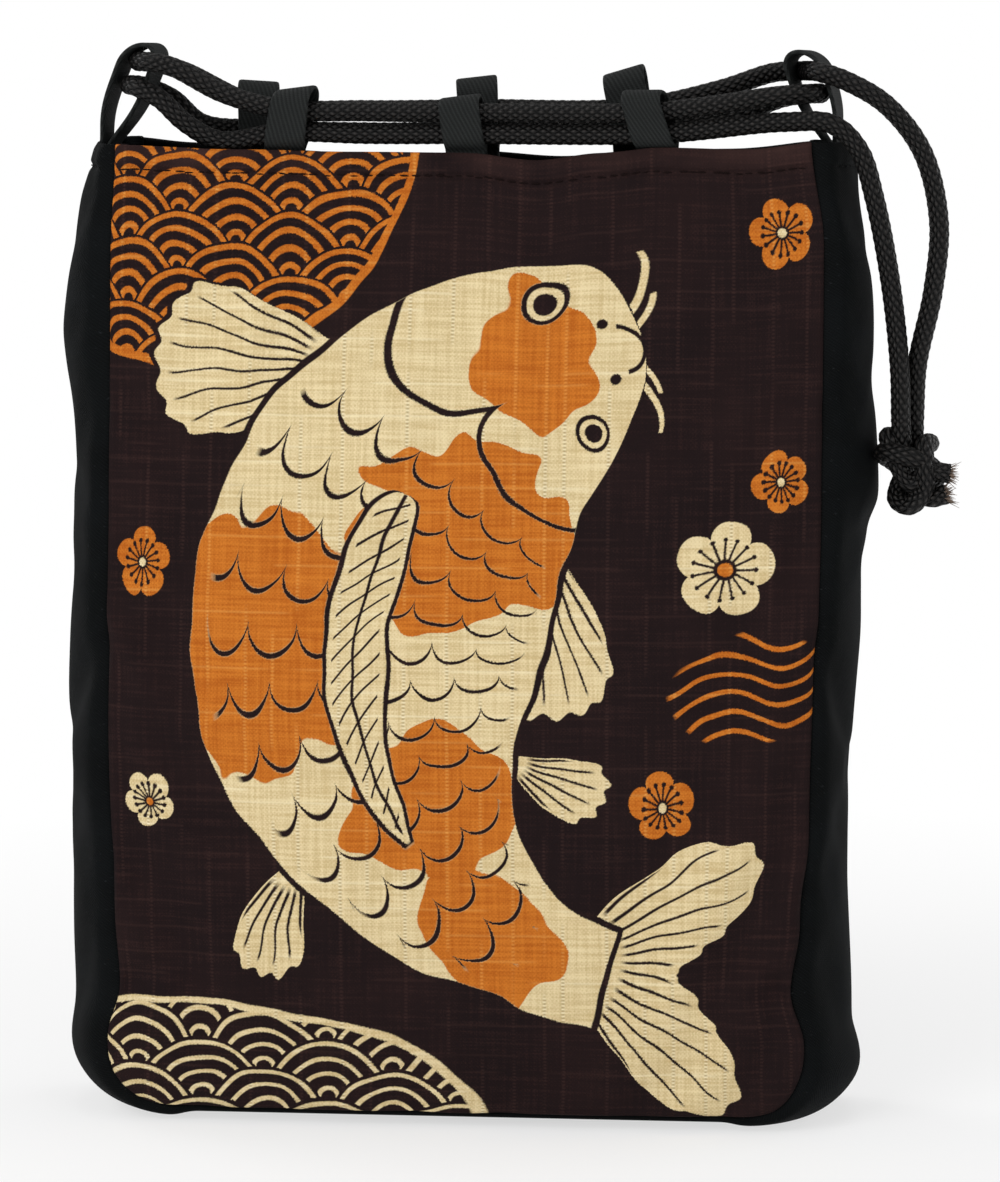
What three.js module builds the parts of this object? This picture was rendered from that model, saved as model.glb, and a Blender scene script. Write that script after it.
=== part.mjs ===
// Kinchaku drawstring pouch: two cloth panels joined by one gusset strip, eight tape loops
// along the rim, and a cord drawn twice round through the loops and tied in one knot.
// Millimetres. Z = 0 is the floor, -Y is the printed front, and the origin is under the middle.
import * as THREE from "three";

// Panels and mouth
const panelWidth = 194; // seam to seam
const rimHeight = 256; // floor to the hemmed rim
const cornerRadius = 20; // rounded lower corners of a panel
const baseDepth = 56; // panel to panel, inside, over the lower half
const mouthCornerDepth = 32; // the same at the two corners of the mouth
const mouthMiddleDepth = 18; // the same halfway along the rim, where the cord draws it in
const mouthReach = 60; // height over which the rim is drawn in
const taperReach = 150; // height over which the sides lean in to the mouth
const panelCrown = 7; // outward swell at the middle of a panel
const clothThickness = 2; // outer cloth with its lining and turnings

// Gusset
const gussetBulge = 10.5; // outward swell between the two seams
const rimBulge = 1.5; // the same at the rim
const bulgeReach = 50; // height over which the swell dies away towards the rim
const seamClearance = 0.4; // between a panel's edge and the gusset round it

// Tape loops
const tapeWidth = 11;
const tapeThickness = 1.2;
const tapeFoldGap = 0.4; // between the two ends of one tape
const hemDepth = 6.4; // how far the tape's ends run down inside the hem
const loopSeat = 0.5; // between a tape's end and the cloth that holds it
const rimLoopPlay = 1.1; // between the cord and each leg of a front or back loop
const sideLoopPlay = 3.4; // the same in the two loops on the gusset, where the cord turns

// Cord and knot
const cordDiameter = 5;
const cordSides = 8;
const cordSteps = 80;
const knotRadius = 6.8;
const knotHeight = 23;
const knotPlace = new THREE.Vector3(116.6, -8.7, 174);

// Loops on the rim: x along it, height above it, and sway, the sideways lean of the top
const frontLoops = [
  { name: "front_loop_left", x: -48, height: 17.2, sway: 0 },
  { name: "front_loop_middle", x: 0, height: 15, sway: 0 },
  { name: "front_loop_right", x: 51, height: 16.6, sway: -3 },
];
const backLoops = [
  { name: "back_loop_left", x: -57, height: 19, sway: 0 },
  { name: "back_loop_middle", x: 2, height: 20, sway: 0 },
  { name: "back_loop_right", x: 43, height: 22, sway: -1 },
];
// Loops on the gusset: side of the bag, height above the rim, and lean, towards the mouth
const sideLoops = [
  { name: "left_side_loop", side: -1, height: 29, lean: 12 },
  { name: "right_side_loop", side: 1, height: 27, lean: 9 },
];

// The cord's own route, from the knot and back to it
const cordRoute = [
  // up from the knot and in over the right corner of the mouth
  [114.8, -11.0, 186.2],
  [114.4, -11.0, 200.0],
  [111.9, -11.4, 222.0],
  [107.5, -12.6, 244.5],
  [103.4, -13.2, 257.0],
  [96.5, -13.4, 263.6],
  [84.0, -12.4, 264.2],
  // first lap: front loops from right to left
  [51.0, -9.5, 261.1],
  [0.0, -7.6, 260.9],
  [-26.0, -8.2, 260.9],
  [-48.0, -9.3, 261.4],
  [-65.0, -9.8, 259.2],
  // left side loop
  [-74.0, -10.3, 263.8],
  [-81.0, -10.3, 270.2],
  [-87.6, -7.4, 273.3],
  [-90.7, 0.0, 273.8],
  [-87.6, 7.4, 273.3],
  [-81.0, 10.3, 270.2],
  [-73.0, 10.3, 263.6],
  // back loops from left to right
  [-57.0, 9.8, 262.0],
  [-28.0, 8.4, 261.3],
  [2.0, 7.6, 261.5],
  [43.0, 9.0, 261.7],
  [68.0, 10.0, 265.0],
  // right side loop
  [82.4, 10.5, 270.4],
  [89.8, 7.4, 271.5],
  [92.9, 0.0, 271.6],
  [89.8, -7.4, 271.5],
  [82.4, -10.5, 271.0],
  // second lap: front loops again, above the first
  [51.0, -9.5, 266.9],
  [0.0, -7.6, 266.5],
  [-26.0, -8.2, 266.8],
  [-48.0, -9.3, 267.4],
  [-64.0, -9.8, 271.6],
  // left side loop
  [-77.7, -10.4, 278.6],
  [-85.1, -7.4, 279.9],
  [-88.2, 0.0, 280.0],
  [-85.1, 7.4, 279.7],
  [-77.7, 10.4, 277.4],
  // back loops
  [-57.0, 9.8, 268.2],
  [-28.0, 8.4, 267.2],
  [2.0, 7.6, 267.5],
  [43.0, 9.0, 267.8],
  [66.0, 10.0, 272.6],
  // right side loop, out at the front of it and down to the knot
  [79.8, 10.2, 277.0],
  [87.2, 7.4, 277.5],
  [89.9, 0.0, 277.5],
  [92.7, -7.4, 277.2],
  [100.0, -10.6, 274.8],
  [110.4, -10.8, 268.6],
  [119.8, -10.0, 256.5],
  [124.2, -9.2, 238.5],
  [122.8, -8.0, 220.0],
  [118.9, -6.6, 201.0],
  [118.2, -6.2, 186.2],
];

// Steps of the meshes
const cornerSteps = 6;
const sideSteps = 12;
const panelColumns = 20;
const gussetColumns = 8;
const baseSteps = 8;
const loopArcSteps = 10;
const loopLegSteps = 6;

// Values worked out from the sizes above
const panelFoot = clothThickness + seamClearance; // the panel's lower edge stands on the gusset
const halfWidth = panelWidth / 2;
const mouthPinch = (mouthCornerDepth - mouthMiddleDepth) / 2;
const rimLoopBelly = cordDiameter + tapeThickness + 2 * rimLoopPlay; // between its legs' middles
const sideLoopBelly = cordDiameter + tapeThickness + 2 * sideLoopPlay;

const clothBrown = new THREE.MeshStandardMaterial({ color: 0x241616, roughness: 0.85, metalness: 0 });
const twillBlack = new THREE.MeshStandardMaterial({ color: 0x111313, roughness: 0.8, metalness: 0 });
const tapeBlack = new THREE.MeshStandardMaterial({ color: 0x1b1d1d, roughness: 0.75, metalness: 0 });
const cordBlack = new THREE.MeshStandardMaterial({ color: 0x141212, roughness: 0.7, metalness: 0 });

// How far z lies within the last reach below the rim: 0 below it and 1 at the rim
function nearRim(z, reach) {
  return THREE.MathUtils.smoothstep(z, rimHeight - reach, rimHeight);
}

// Half the inside depth between the panels' edges
function seamDepth(z) {
  return THREE.MathUtils.lerp(baseDepth / 2, mouthCornerDepth / 2, nearRim(z, taperReach));
}

// Outward swell at the middle of a panel, negative where the rim is drawn in
function crownAt(z) {
  const share = (z - panelFoot) / (rimHeight - panelFoot);
  return panelCrown * Math.sin(Math.PI * share) - mouthPinch * nearRim(z, mouthReach);
}

// Distance of a panel's inner face from the bag's middle plane
function panelInside(x, z, edge) {
  const across = x / edge;
  return seamDepth(z) + crownAt(z) * (1 - across * across);
}

// Right half of a panel's outline: corner arc, then the straight side up to the rim.
// Each point has its outward direction and the share of the gusset's swell there.
function outlineHalf() {
  const points = [];
  for (let i = 0; i <= cornerSteps; i++) {
    const angle = (i / cornerSteps) * (Math.PI / 2);
    const outX = Math.sin(angle);
    const outZ = -Math.cos(angle);
    points.push({
      x: halfWidth - cornerRadius + cornerRadius * outX,
      z: panelFoot + cornerRadius + cornerRadius * outZ,
      outX,
      outZ,
      swell: outX * outX,
    });
  }
  const sideFoot = panelFoot + cornerRadius;
  for (let i = 1; i <= sideSteps; i++) {
    const z = sideFoot + ((rimHeight - sideFoot) * i) / sideSteps;
    points.push({ x: halfWidth, z, outX: 1, outZ: 0, swell: 1 });
  }
  return points;
}

// Closed solid between two grids of points, each rows x columns, with the outer grid
// seen from outside as rows going up and columns going right
function shell(outer, inner) {
  const rows = outer.length;
  const columns = outer[0].length;
  const positions = [];
  const index = [];
  for (const grid of [outer, inner]) {
    for (const row of grid) {
      for (const point of row) positions.push(...point);
    }
  }
  const at = (layer, row, column) => layer * rows * columns + row * columns + column;
  const quad = (a, b, c, d) => index.push(a, b, c, a, c, d);
  for (let r = 0; r + 1 < rows; r++) {
    for (let c = 0; c + 1 < columns; c++) {
      quad(at(0, r, c), at(0, r, c + 1), at(0, r + 1, c + 1), at(0, r + 1, c));
      quad(at(1, r, c), at(1, r + 1, c), at(1, r + 1, c + 1), at(1, r, c + 1));
    }
    quad(at(0, r, 0), at(0, r + 1, 0), at(1, r + 1, 0), at(1, r, 0));
    const last = columns - 1;
    quad(at(0, r, last), at(1, r, last), at(1, r + 1, last), at(0, r + 1, last));
  }
  for (let c = 0; c + 1 < columns; c++) {
    quad(at(0, 0, c), at(1, 0, c), at(1, 0, c + 1), at(0, 0, c + 1));
    const top = rows - 1;
    quad(at(0, top, c), at(0, top, c + 1), at(1, top, c + 1), at(1, top, c));
  }
  const geometry = new THREE.BufferGeometry();
  geometry.setAttribute("position", new THREE.Float32BufferAttribute(positions, 3));
  geometry.setIndex(index);
  geometry.computeVertexNormals();
  return geometry;
}

// The front panel, as seen from the front; the back one is this turned half round
function panelGeometry() {
  const outer = [];
  const inner = [];
  for (const edge of outlineHalf()) {
    const outerRow = [];
    const innerRow = [];
    for (let c = 0; c <= panelColumns; c++) {
      const x = edge.x * ((2 * c) / panelColumns - 1);
      const inside = panelInside(x, edge.z, edge.x);
      outerRow.push([x, -inside - clothThickness, edge.z]);
      innerRow.push([x, -inside, edge.z]);
    }
    outer.push(outerRow);
    inner.push(innerRow);
  }
  return shell(outer, inner);
}

// One strip from the left rim, under the base and up to the right rim
function gussetGeometry() {
  const right = outlineHalf();
  const left = right.map((p) => ({ ...p, x: -p.x, outX: -p.outX })).reverse();
  const base = [];
  const baseHalf = halfWidth - cornerRadius;
  for (let i = 1; i < baseSteps; i++) {
    const x = baseHalf * ((2 * i) / baseSteps - 1);
    base.push({ x, z: panelFoot, outX: 0, outZ: -1, swell: 0 });
  }
  const outer = [];
  const inner = [];
  for (let c = 0; c <= gussetColumns; c++) {
    const across = (2 * c) / gussetColumns - 1;
    const outerRow = [];
    const innerRow = [];
    for (const point of [...left, ...base, ...right]) {
      const swellHere = THREE.MathUtils.lerp(gussetBulge, rimBulge, nearRim(point.z, bulgeReach));
      const bulge = point.swell * swellHere * (1 - across * across);
      const y = -across * (seamDepth(point.z) + clothThickness);
      const innerOff = seamClearance + bulge;
      const outerOff = innerOff + clothThickness;
      innerRow.push([point.x + point.outX * innerOff, y, point.z + point.outZ * innerOff]);
      outerRow.push([point.x + point.outX * outerOff, y, point.z + point.outZ * outerOff]);
    }
    outer.push(outerRow);
    inner.push(innerRow);
  }
  return shell(outer, inner);
}

// One folded tape: a strip bent into a loop, with its two ends side by side in the hem.
// Local axes: X along the rim, Y into the mouth, Z up from the rim.
function loopGeometry({ height, belly, lean = 0, sway = 0 }) {
  const endOffset = (tapeThickness + tapeFoldGap) / 2;
  const half = belly / 2;
  const archFoot = height - tapeThickness / 2 - half;
  const legs = new THREE.CubicBezierCurve(
    new THREE.Vector2(endOffset, 0),
    new THREE.Vector2(endOffset, half * 0.55),
    new THREE.Vector2(half, half * 0.4),
    new THREE.Vector2(half, half * 1.15),
  );
  const side = [new THREE.Vector2(endOffset, -hemDepth), ...legs.getPoints(loopLegSteps)];
  const middle = [];
  for (const point of side) middle.push(new THREE.Vector2(-point.x, point.y));
  for (let i = 0; i <= loopArcSteps; i++) {
    const angle = Math.PI * (1 - i / loopArcSteps);
    middle.push(new THREE.Vector2(half * Math.cos(angle), archFoot + half * Math.sin(angle)));
  }
  for (const point of side.reverse()) middle.push(point.clone());
  for (const point of middle) point.x += (lean * Math.max(0, point.y)) / height;
  const edge = (offset) =>
    middle.map((point, i) => {
      const before = middle[Math.max(0, i - 1)];
      const after = middle[Math.min(middle.length - 1, i + 1)];
      const along = after.clone().sub(before).normalize();
      return new THREE.Vector2(point.x - along.y * offset, point.y + along.x * offset);
    });
  const outline = [...edge(tapeThickness / 2), ...edge(-tapeThickness / 2).reverse()];
  const geometry = new THREE.ExtrudeGeometry(new THREE.Shape(outline), {
    depth: tapeWidth,
    bevelEnabled: false,
  });
  geometry.translate(0, 0, -tapeWidth / 2);
  // the shape's X, Y and depth become Y, Z and X
  geometry.applyMatrix4(new THREE.Matrix4().set(0, 0, 1, 0, 1, 0, 0, 0, 0, 1, 0, 0, 0, 0, 0, 1));
  const shear = sway / height;
  geometry.applyMatrix4(new THREE.Matrix4().set(1, 0, shear, 0, 0, 1, 0, 0, 0, 0, 1, 0, 0, 0, 0, 1));
  return geometry;
}

function addMesh(group, name, geometry, material) {
  const mesh = new THREE.Mesh(geometry, material);
  mesh.name = name;
  group.add(mesh);
  return mesh;
}

// Distance from the cloth that holds a loop to the middle of the folded tape
const loopInset = loopSeat + tapeThickness + tapeFoldGap / 2;

function addRimLoop(group, { name, x, height, sway }, back) {
  const geometry = loopGeometry({ height, belly: rimLoopBelly, sway: back ? -sway : sway });
  const mesh = addMesh(group, name, geometry, tapeBlack);
  const turn = Math.atan((2 * mouthPinch * x) / (halfWidth * halfWidth));
  const y = panelInside(x, rimHeight, halfWidth) - loopInset;
  mesh.position.set(x, back ? y : -y, rimHeight);
  mesh.rotation.z = back ? Math.PI + turn : -turn;
}

function addSideLoop(group, { name, side, height, lean }) {
  const mesh = addMesh(group, name, loopGeometry({ height, belly: sideLoopBelly, lean }), tapeBlack);
  mesh.position.set(side * (halfWidth + seamClearance + rimBulge - loopInset), 0, rimHeight);
  mesh.rotation.z = (side * Math.PI) / 2;
}

// A curve whose steps follow its own points, so that they lie closer together in the bends
class CordCurve extends THREE.CatmullRomCurve3 {
  getPointAt(share, target) {
    return this.getPoint(share, target);
  }

  getTangentAt(share, target) {
    return this.getTangent(share, target);
  }
}

function cordGeometry() {
  const points = cordRoute.map((point) => new THREE.Vector3(...point));
  const section = new THREE.Shape();
  for (let i = 0; i < cordSides; i++) {
    const angle = (2 * Math.PI * i) / cordSides;
    const x = (cordDiameter / 2) * Math.cos(angle);
    const y = (cordDiameter / 2) * Math.sin(angle);
    if (i === 0) section.moveTo(x, y);
    else section.lineTo(x, y);
  }
  section.closePath();
  return new THREE.ExtrudeGeometry(section, {
    steps: cordSteps,
    extrudePath: new CordCurve(points, false, "centripetal"),
  });
}

// The two ends tied together in one overhand knot, as its outer shape with a flat top
function knotGeometry() {
  const half = knotHeight / 2;
  const profile = [
    new THREE.Vector2(0, -half),
    new THREE.Vector2(knotRadius * 0.55, -half * 0.93),
    new THREE.Vector2(knotRadius * 0.9, -half * 0.55),
    new THREE.Vector2(knotRadius, 0),
    new THREE.Vector2(knotRadius * 0.96, half * 0.5),
    new THREE.Vector2(knotRadius * 0.82, half),
    new THREE.Vector2(0, half),
  ];
  const geometry = new THREE.LatheGeometry(profile, 16);
  geometry.rotateX(Math.PI / 2);
  return geometry;
}

const pouch = new THREE.Group();
addMesh(pouch, "front_panel", panelGeometry(), clothBrown);
addMesh(pouch, "back_panel", panelGeometry(), twillBlack).rotation.z = Math.PI;
addMesh(pouch, "gusset_strip", gussetGeometry(), twillBlack);
for (const loop of frontLoops) addRimLoop(pouch, loop, false);
for (const loop of backLoops) addRimLoop(pouch, loop, true);
for (const loop of sideLoops) addSideLoop(pouch, loop);
addMesh(pouch, "drawstring", cordGeometry(), cordBlack);
addMesh(pouch, "knot", knotGeometry(), cordBlack).position.copy(knotPlace);

export default pouch;
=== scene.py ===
import math

import bmesh
import bpy
import numpy as np
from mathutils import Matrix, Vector
from mathutils.kdtree import KDTree


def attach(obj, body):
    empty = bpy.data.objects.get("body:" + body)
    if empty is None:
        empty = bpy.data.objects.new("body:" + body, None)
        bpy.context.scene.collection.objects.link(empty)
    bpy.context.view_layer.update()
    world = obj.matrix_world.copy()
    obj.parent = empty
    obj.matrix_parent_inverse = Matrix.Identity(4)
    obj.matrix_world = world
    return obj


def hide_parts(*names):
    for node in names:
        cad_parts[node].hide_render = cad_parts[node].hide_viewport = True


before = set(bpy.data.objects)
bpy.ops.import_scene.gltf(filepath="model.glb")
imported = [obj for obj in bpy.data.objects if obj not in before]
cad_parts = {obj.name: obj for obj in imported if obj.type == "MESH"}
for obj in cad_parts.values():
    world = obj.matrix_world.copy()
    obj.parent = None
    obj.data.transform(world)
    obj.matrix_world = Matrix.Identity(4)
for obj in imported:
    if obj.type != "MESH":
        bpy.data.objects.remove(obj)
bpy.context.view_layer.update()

mm = 0.001


# Small helpers

def smooth(x, low, high):
    t = np.clip((x - low) / (high - low), 0, 1)
    return t * t * (3 - 2 * t)


def eased(x, points):  # runs smoothly through (place, value) pairs
    places, values = np.array(points, float).T
    i = np.clip(np.searchsorted(places, x) - 1, 0, len(places) - 2)
    return values[i] + (values[i + 1] - values[i]) * smooth(x, places[i], places[i + 1])


def pointsOf(mesh, kind="co"):  # one row for each point: its place, or its "normal"
    values = np.zeros(len(mesh.vertices) * 3)
    mesh.vertices.foreach_get(kind, values)
    return values.reshape(-1, 3)


def setPoints(mesh, points):
    mesh.vertices.foreach_set("co", np.ascontiguousarray(points).ravel())
    mesh.update()


def cornersOf(mesh):  # the point at each corner of a face
    corners = np.zeros(len(mesh.loops), int)
    mesh.loops.foreach_get("vertex_index", corners)
    return corners


def clothPlaces(mesh):  # where each point lies on its flat cloth, from the UV map
    uv = np.zeros(len(mesh.loops) * 2)
    mesh.uv_layers["Cloth"].data.foreach_get("uv", uv)
    places = np.zeros((len(mesh.vertices), 2))
    places[cornersOf(mesh)] = uv.reshape(-1, 2)
    return places


def setCloth(mesh, places):
    uv = np.ascontiguousarray(places[cornersOf(mesh)])
    mesh.uv_layers["Cloth"].data.foreach_set("uv", uv.ravel())


def opened(*meshes):
    bm = bmesh.new()
    for mesh in meshes:
        bm.from_mesh(mesh)
    return bm


def closed(bm, mesh):  # writes the shape into a mesh, or into a new one of that name
    if isinstance(mesh, str):
        mesh = bpy.data.meshes.new(mesh)
    bm.to_mesh(mesh)
    bm.free()
    return mesh


def addObject(name, mesh, *materials):
    for material in materials:
        mesh.materials.append(material)
    for face in mesh.polygons:
        face.use_smooth = True
    piece = bpy.data.objects.new(name, mesh)
    bpy.context.collection.objects.link(piece)
    return piece


def addSubdivision(piece):
    subdivision = piece.modifiers.new("Subdivision", "SUBSURF")
    subdivision.levels = subdivision.render_levels = 1
    subdivision.uv_smooth = "PRESERVE_BOUNDARIES"


def addThickness(piece, thickness, offset=-1, group="", thin=0, back=0):
    solid = piece.modifiers.new("Solidify", "SOLIDIFY")
    solid.thickness = thickness
    solid.offset = offset
    solid.use_even_offset = False
    solid.material_offset = back
    solid.vertex_group = group
    solid.thickness_vertex_group = thin


def gridMesh(name, across, along):  # a flat grid from (-1, -1) to (1, 1), with a UV map to fill
    bm = bmesh.new()
    bmesh.ops.create_grid(bm, x_segments=across, y_segments=along, size=1)
    mesh = closed(bm, name)
    mesh.uv_layers.new(name="Cloth")
    return mesh


# Node helpers: a Flow is a number on its way through Math nodes

class Flow:
    def __init__(self, tree, socket):
        self.tree = tree
        self.socket = socket

    def math(self, kind, *others, clamp=False):
        node = self.tree.nodes.new("ShaderNodeMath")
        node.operation = kind
        node.use_clamp = clamp
        for slot, value in enumerate((self, *others)):
            if isinstance(value, Flow):
                self.tree.links.new(value.socket, node.inputs[slot])
            else:
                node.inputs[slot].default_value = value
        return Flow(self.tree, node.outputs[0])

    def __add__(self, other):
        return self.math("ADD", other)

    def __sub__(self, other):
        return self.math("SUBTRACT", other)

    def __mul__(self, other):
        return self.math("MULTIPLY", other)

    def __truediv__(self, other):
        return self.math("DIVIDE", other)

    def scaled(self, factor, plus):
        return self.math("MULTIPLY_ADD", factor, plus)

    def size(self):
        return self.math("ABSOLUTE")

    def clipped(self):  # cut off below 0 and above 1
        return self.math("ADD", 0.0, clamp=True)

    def inverse(self):
        return self.math("MULTIPLY_ADD", -1.0, 1.0)

    def curve(self, *points):
        node = self.tree.nodes.new("ShaderNodeFloatCurve")
        line = node.mapping.curves[0]
        line.points[0].location = points[0]
        line.points[1].location = points[-1]
        for point in points[1:-1]:
            line.points.new(*point)
        node.mapping.update()
        self.tree.links.new(self.socket, node.inputs["Value"])
        return Flow(self.tree, node.outputs[0])


def distance(a, b):
    return (a * a + b * b).math("SQRT")


def inside(gap, soft=0.14):  # 1 where the distance past an edge is negative
    return gap.math("MULTIPLY_ADD", -0.5 / soft, 0.5, clamp=True)


def line(gap, width):
    return inside(gap.size() - width / 2)


class Material:
    def __init__(self, name, uv=True):
        self.material = bpy.data.materials.new(name)
        self.material.use_nodes = True
        self.tree = self.material.node_tree
        self.shader = self.tree.nodes["Principled BSDF"]
        if uv:
            self.where = self.node("UVMap", uv_map="Cloth").outputs["UV"]
        else:
            self.where = self.node("TexCoord").outputs["Object"]

    def node(self, kind, **settings):
        node = self.tree.nodes.new("ShaderNode" + kind)
        for name, value in settings.items():
            setattr(node, name, value)
        return node

    def link(self, source, target):
        self.tree.links.new(source.socket if isinstance(source, Flow) else source, target)

    def set(self, **values):
        for name, value in values.items():
            self.shader.inputs[name.replace("_", " ")].default_value = value

    def split(self, factor=1000.0):  # the piece's own place, in millimetres
        node = self.node("SeparateXYZ")
        self.link(self.where, node.inputs[0])
        return [Flow(self.tree, node.outputs[i]) * factor for i in range(3)]

    def noise(self, x, y, detail=1.0, roughness=0.5):
        place = self.node("CombineXYZ")
        self.link(x, place.inputs[0])
        self.link(y, place.inputs[1])
        node = self.node("TexNoise", noise_dimensions="2D")
        for name, value in (("Scale", 1.0), ("Detail", detail), ("Roughness", roughness)):
            node.inputs[name].default_value = value
        self.link(place.outputs[0], node.inputs["Vector"])
        return Flow(self.tree, node.outputs["Fac"])

    def dice(self, number):  # a value from 0 to 1 of its own for each whole number
        node = self.node("TexWhiteNoise", noise_dimensions="1D")
        self.link(number, node.inputs["W"])
        return Flow(self.tree, node.outputs["Value"])

    def mix(self, factor, first, second):
        node = self.node("Mix", data_type="RGBA")
        self.link(factor, node.inputs["Factor"])
        for slot, value in (("A", first), ("B", second)):
            socket = [s for s in node.inputs if s.name == slot and s.type == "RGBA"][0]
            if isinstance(value, tuple):
                socket.default_value = (*value, 1)
            else:
                self.link(value, socket)
        return [s for s in node.outputs if s.type == "RGBA"][0]

    # height runs from 0 to 1 and depth is in millimetres
    def finish(self, colour, height, depth, strength, rough, shine):
        bump = self.node("Bump")
        bump.inputs["Strength"].default_value = strength
        bump.inputs["Distance"].default_value = depth * mm
        self.link(height, bump.inputs["Height"])
        self.link(bump.outputs[0], self.shader.inputs["Normal"])
        self.link(colour, self.shader.inputs["Base Color"])
        self.set(Roughness=rough, Specular_IOR_Level=shine)
        return self.material


def rgb(*values):  # from the 0 to 255 values of a picture
    shares = [value / 255 for value in values]
    return tuple(s / 12.92 if s <= 0.04045 else ((s + 0.055) / 1.055) ** 2.4 for s in shares)


# Camera

camera = {
    "azimuth": 5.8,  # degrees to the right of straight on
    "elevation": 6.0,
    "distance": 1.3,
    "target": (0.0083, 0.0, 0.1394),
    "seenHeight": 0.3156,
}


def addCamera():
    azimuth = math.radians(camera["azimuth"])
    elevation = math.radians(camera["elevation"])
    back = Vector((
        math.sin(azimuth) * math.cos(elevation),
        -math.cos(azimuth) * math.cos(elevation),
        math.sin(elevation),
    ))
    data = bpy.data.cameras.new("camera")
    data.sensor_fit = "VERTICAL"
    data.sensor_height = 24
    data.lens = data.sensor_height * camera["distance"] / camera["seenHeight"]
    view = bpy.data.objects.new("camera", data)
    view.location = Vector(camera["target"]) + back * camera["distance"]
    view.rotation_euler = (-back).to_track_quat("-Z", "Y").to_euler()
    bpy.context.collection.objects.link(view)
    bpy.context.scene.camera = view


# Cord: its route is the one that the CAD tube follows

cord = {
    "diameter": 0.005,
    "length": 0.985,
    "sides": 32,
    "step": 0.00045,  # between rings
    "strandsRound": 8,  # braid cells in one direction round the cord
    "pitch": 0.0027,  # along the cord for two cells
    "relief": 0.00025,
}

cordRoute = [
    (0.1148, -0.0110, 0.1862), (0.1144, -0.0110, 0.2000), (0.1119, -0.0114, 0.2220),
    (0.1075, -0.0126, 0.2445), (0.1034, -0.0132, 0.2570), (0.0965, -0.0134, 0.2636),
    (0.0840, -0.0124, 0.2642), (0.0510, -0.0095, 0.2611), (0.0000, -0.0076, 0.2609),
    (-0.0260, -0.0082, 0.2609), (-0.0480, -0.0093, 0.2614), (-0.0650, -0.0098, 0.2592),
    (-0.0740, -0.0103, 0.2638), (-0.0810, -0.0103, 0.2702), (-0.0876, -0.0074, 0.2733),
    (-0.0907, 0.0000, 0.2738), (-0.0876, 0.0074, 0.2733), (-0.0810, 0.0103, 0.2702),
    (-0.0730, 0.0103, 0.2636), (-0.0570, 0.0098, 0.2620), (-0.0280, 0.0084, 0.2613),
    (0.0020, 0.0076, 0.2615), (0.0430, 0.0090, 0.2617), (0.0680, 0.0100, 0.2650),
    (0.0824, 0.0105, 0.2704), (0.0898, 0.0074, 0.2715), (0.0929, 0.0000, 0.2716),
    (0.0898, -0.0074, 0.2715), (0.0824, -0.0105, 0.2710), (0.0510, -0.0095, 0.2669),
    (0.0000, -0.0076, 0.2665), (-0.0260, -0.0082, 0.2668), (-0.0480, -0.0093, 0.2674),
    (-0.0640, -0.0098, 0.2716), (-0.0777, -0.0104, 0.2786), (-0.0851, -0.0074, 0.2799),
    (-0.0882, 0.0000, 0.2800), (-0.0851, 0.0074, 0.2797), (-0.0777, 0.0104, 0.2774),
    (-0.0570, 0.0098, 0.2682), (-0.0280, 0.0084, 0.2672), (0.0020, 0.0076, 0.2675),
    (0.0430, 0.0090, 0.2678), (0.0660, 0.0100, 0.2726), (0.0798, 0.0102, 0.2770),
    (0.0872, 0.0074, 0.2775), (0.0899, 0.0000, 0.2775), (0.0927, -0.0074, 0.2772),
    (0.1000, -0.0106, 0.2748), (0.1104, -0.0108, 0.2686), (0.1198, -0.0100, 0.2565),
    (0.1242, -0.0092, 0.2385), (0.1228, -0.0080, 0.2200), (0.1189, -0.0066, 0.2010),
    (0.1182, -0.0062, 0.1862),
]

knot = {
    "place": (0.1166, -0.0087, 0.174),
    # two ends side by side, each from above, once round and down through the middle
    "firstEnd": [
        (-1.8, -2.3, 13.0), (-1.6, -2.2, 8.5), (-0.8, -1.6, 3.0), (0.2, 0.8, -5.4), (3.4, 4.0, -7.8),
        (6.9, 2.2, -4.2), (6.6, -3.2, 0.2), (1.6, -6.6, 3.0), (-4.4, -5.2, 4.2), (-6.6, 0.4, 3.6),
        (-3.8, 5.4, 1.2), (1.6, 4.6, -2.6), (3.8, 0.2, -6.4), (6.2, -2.6, -7.6), (10.4, -3.6, -6.6),
    ],
    "secondEnd": [
        (1.6, 2.5, 13.0), (1.6, 2.4, 8.4), (1.7, 1.8, 3.0), (-1.8, 1.8, -4.0), (-2.6, -1.2, -8.2),
        (0.8, -4.0, -9.6), (4.4, -4.8, -5.6), (4.6, -5.8, 0.6), (4.4, -3.4, 6.0), (5.6, 2.6, 6.2),
        (1.2, 6.6, 5.0), (-3.6, 4.6, 6.6), (-5.0, -1.6, 8.0), (-2.8, -3.8, 2.0), (1.0, -4.4, -3.6),
        (6.0, -4.2, -0.8), (11.2, -4.0, -1.2),
    ],
    "fibres": 46,  # in each frayed end
    "fibreLength": 3.2, "fibreRoot": 0.2, "fibreTip": 0.05,  # length and the radius at both ends
    # how wide the fibres stand, the length over which they open to twice that, and how far inside they start
    "spread": 1.9, "splay": 3.5, "sunk": 0.8,
}


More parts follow.
